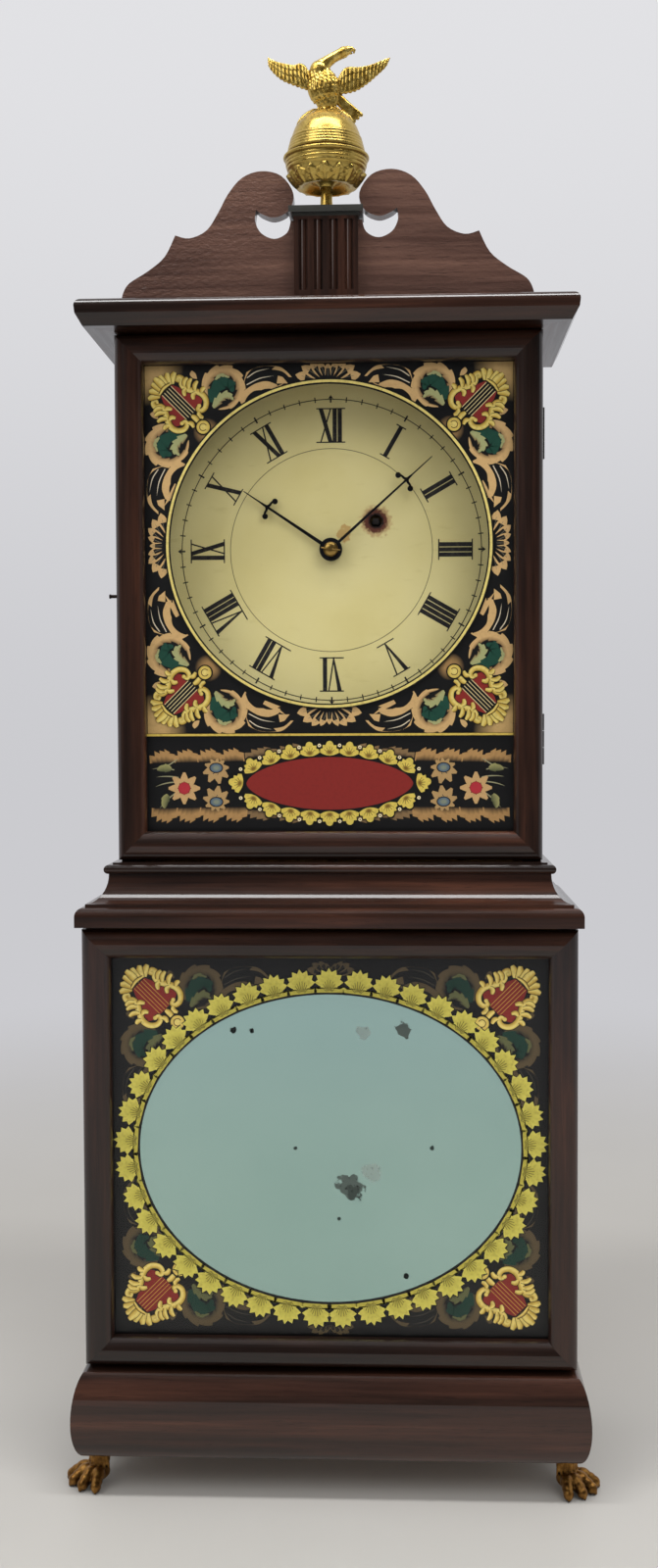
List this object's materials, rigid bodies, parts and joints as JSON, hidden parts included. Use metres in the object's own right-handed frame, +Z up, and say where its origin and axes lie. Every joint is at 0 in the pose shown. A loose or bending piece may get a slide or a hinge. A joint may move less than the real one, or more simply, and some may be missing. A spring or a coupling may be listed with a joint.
{
  "type": "shelf clock",
  "caption": "Weight-driven shelf clock in a stepped wooden case with painted glass door, oval mirror panel, scrolled top, eagle finial, paw feet and a working going train",
  "frame": {"origin": "on the floor plane, on the centre line, 84 mm in front of the back, close to the middle of the depth", "axes": "+X to the viewer's right, +Y from the front to the back, +Z up; the dial faces -Y"},
  "size_m": [0.3524, 0.158, 0.9318],
  "materials": {
    "mahogany": "dark red-brown, half-gloss shellac over figured grain",
    "pine": "bare, aged light wood inside and at the back",
    "foot_bronze": "dark bronze colour, gilt rubbed through on the high spots",
    "gilt_brass": "old gilt brass, dull in the hollows",
    "silvered_glass": "old silvered glass with a painted gold-leaf border, silvering worn in places",
    "painted_glass": "glass painted on its back round a clear dial opening",
    "dark_iron": "dark, slightly rusted",
    "dial_paint": "cream paint, slightly glossy, worn at the winding hole",
    "blued_steel": "black",
    "brass": "satin",
    "steel": "bright ground",
    "cast_iron": "rough, dark",
    "cord": "twisted gut-coloured cord"
  },
  "bodies": {
    "case": {"backboard": "pine", "lower_sides": "mahogany", "upper_sides": "mahogany", "bottom_board": "pine", "mid_board": "pine", "top_board": "pine", "base_moulding": "mahogany", "mid_moulding": "mahogany", "cornice": "mahogany", "front_feet": "foot_bronze", "rear_feet": "foot_bronze", "pediment": "mahogany", "plinth": "mahogany", "plinth_cap": "mahogany", "finial_stem": "gilt_brass", "finial_ball": "gilt_brass", "eagle": "gilt_brass", "case_hinge_leaves": "dark_iron", "hinge_pins": "dark_iron", "dial": "dial_paint", "dial_strips": "pine", "front_plate": "brass", "back_plate": "brass", "pillars": "brass", "seat_board": "pine", "suspension_cock": "brass", "weight_cord": "cord"},
    "mirror_panel": {"frame_top_rail": "mahogany", "frame_bottom_rail": "mahogany", "frame_left_stile": "mahogany", "frame_right_stile": "mahogany", "mirror_tablet": "silvered_glass", "mirror_backing": "pine", "frame_pegs": "pine"},
    "door": {"door_top_rail": "mahogany", "door_bottom_rail": "mahogany", "door_left_stile": "mahogany", "door_right_stile": "mahogany", "dial_tablet": "painted_glass", "glazing_strips": "pine", "door_hinge_leaves": "dark_iron", "hook_pin": "dark_iron"},
    "hook": {"door_hook": "dark_iron"},
    "centre_arbor": {"centre_wheel": "brass", "cannon_pinion": "brass", "minute_hand": "blued_steel", "hand_collet": "brass"},
    "hour_pipe": {"hour_wheel": "brass", "hour_hand": "blued_steel"},
    "motion_wheel": {"minute_wheel": "brass"},
    "third_arbor": {"third_wheel": "brass"},
    "escape_arbor": {"escape_wheel": "brass"},
    "great": {"great_wheel": "brass", "click": "steel"},
    "drum": {"winding_drum": "brass"},
    "pallet_arbor": {"pallets": "steel"},
    "pendulum": {"pendulum_rod": "steel", "pendulum_bob": "brass"},
    "driving_weight": {"weight": "cast_iron"},
    "pulley": {"weight_pulley": "brass"}
  },
  "joints": [
    {"name": "panel_lift_off", "type": "slide", "parent": "case", "child": "mirror_panel", "axis": [0, -1, 0], "range_m": [0, 0.016]},
    {"name": "door_swing", "type": "hinge", "parent": "case", "child": "door", "pos_m": [0.138, -0.0271, 0.583], "axis": [0, 0, 1], "range_deg": [0, 110]},
    {"name": "hook_turn", "type": "hinge", "parent": "case", "child": "hook", "pos_m": [-0.139, -0.0149, 0.585], "axis": [1, 0, 0], "range_deg": [0, 90]},
    {"name": "centre_turn", "type": "hinge", "parent": "case", "child": "centre_arbor", "pos_m": [0, 0.0387, 0.618], "axis": [0, 1, 0], "continuous": true},
    {"name": "hour_turn", "type": "hinge", "parent": "case", "child": "hour_pipe", "pos_m": [0, 0.0387, 0.618], "axis": [0, 1, 0], "continuous": true},
    {"name": "motion_turn", "type": "hinge", "parent": "case", "child": "motion_wheel", "pos_m": [-0.00983, 0.0387, 0.61112], "axis": [0, 1, 0], "continuous": true},
    {"name": "third_turn", "type": "hinge", "parent": "case", "child": "third_arbor", "pos_m": [-0.01294, 0.0387, 0.63821], "axis": [0, 1, 0], "continuous": true},
    {"name": "escape_turn", "type": "hinge", "parent": "case", "child": "escape_arbor", "pos_m": [0, 0.0387, 0.656], "axis": [0, 1, 0], "continuous": true},
    {"name": "great_turn", "type": "hinge", "parent": "case", "child": "great", "pos_m": [0.03, 0.0387, 0.6374], "axis": [0, 1, 0], "continuous": true},
    {"name": "drum_wind", "type": "hinge", "parent": "great", "child": "drum", "pos_m": [0.03, 0.0387, 0.6374], "axis": [0, 1, 0], "range_deg": [0, 4320]},
    {"name": "weight_rise", "type": "slide", "parent": "case", "child": "driving_weight", "axis": [0, 0, 1], "range_m": [0, 0.34], "deforming": ["weight_cord"]},
    {"name": "pulley_turn", "type": "hinge", "parent": "driving_weight", "child": "pulley", "pos_m": [0.033, 0.0383, 0.183], "axis": [0, 1, 0], "range_deg": [0, 1622]},
    {"name": "pendulum_swing", "type": "hinge", "parent": "case", "child": "pendulum", "pos_m": [0, 0.0662, 0.677], "axis": [0, 1, 0], "range_deg": [-3, 3]},
    {"name": "pallet_rock", "type": "hinge", "parent": "case", "child": "pallet_arbor", "pos_m": [0, 0.0387, 0.677], "axis": [0, 1, 0], "range_deg": [-3, 3]}
  ],
  "couplings": [
    {"joint": "hour_turn", "follows": "centre_turn", "ratio": 0.083333},
    {"joint": "motion_turn", "follows": "centre_turn", "ratio": -0.33333},
    {"joint": "third_turn", "follows": "centre_turn", "ratio": -9},
    {"joint": "escape_turn", "follows": "centre_turn", "ratio": 90},
    {"joint": "great_turn", "follows": "centre_turn", "ratio": -0.0625},
    {"joint": "drum_wind", "follows": "weight_rise", "rad_per_m": 221.73},
    {"joint": "pulley_turn", "follows": "weight_rise", "rad_per_m": 83.195},
    {"joint": "pallet_rock", "follows": "pendulum_swing", "ratio": 1}
  ]
}
